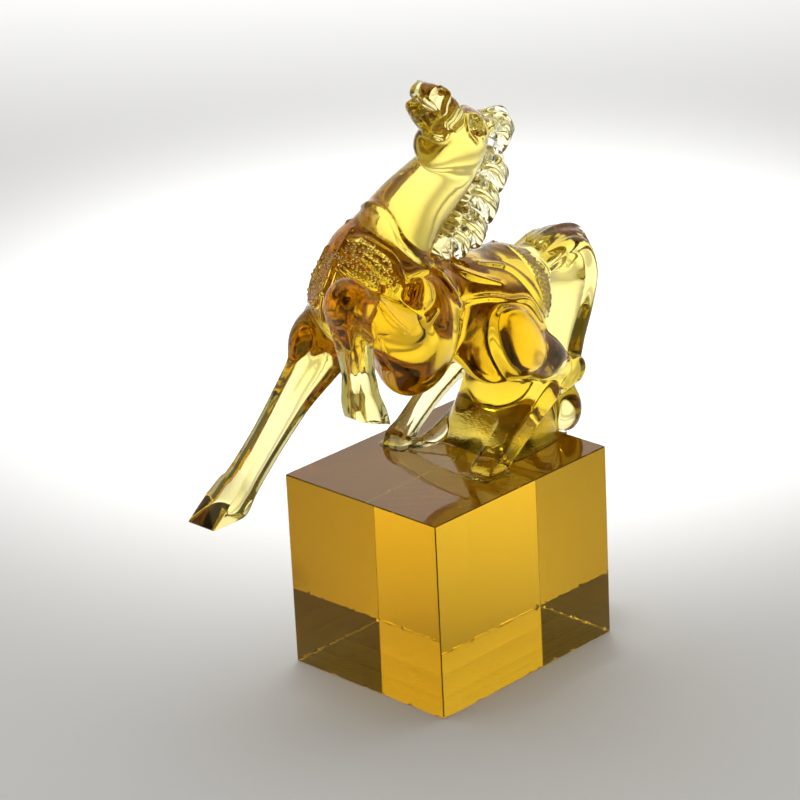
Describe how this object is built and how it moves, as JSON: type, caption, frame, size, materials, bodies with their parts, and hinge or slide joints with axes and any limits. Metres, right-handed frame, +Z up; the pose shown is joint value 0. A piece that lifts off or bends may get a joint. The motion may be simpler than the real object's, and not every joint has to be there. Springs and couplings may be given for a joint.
{
  "type": "figurine",
  "caption": "Rearing horse cast in amber glass, braced by its tail and cemented to a polished cuboid glass block.",
  "frame": {"origin": "centre of the block's underside, where it rests on a table", "axes": "+Z up, the horse faces -Y, its left side is towards +X"},
  "size_m": [0.08, 0.2011, 0.2442],
  "materials": {
    "block_glass": "sawn and polished amber crystal, fine polished bevel on each arris",
    "cast_glass": "lost-wax cast amber crystal, fire-polished, faintly rippled",
    "clear_adhesive": "cured clear adhesive film"
  },
  "bodies": {
    "root": {"base_block": "block_glass", "horse_casting": "cast_glass", "bond_left_hoof": "clear_adhesive", "bond_right_hoof": "clear_adhesive", "bond_tail_foot": "clear_adhesive"}
  },
  "joints": []
}
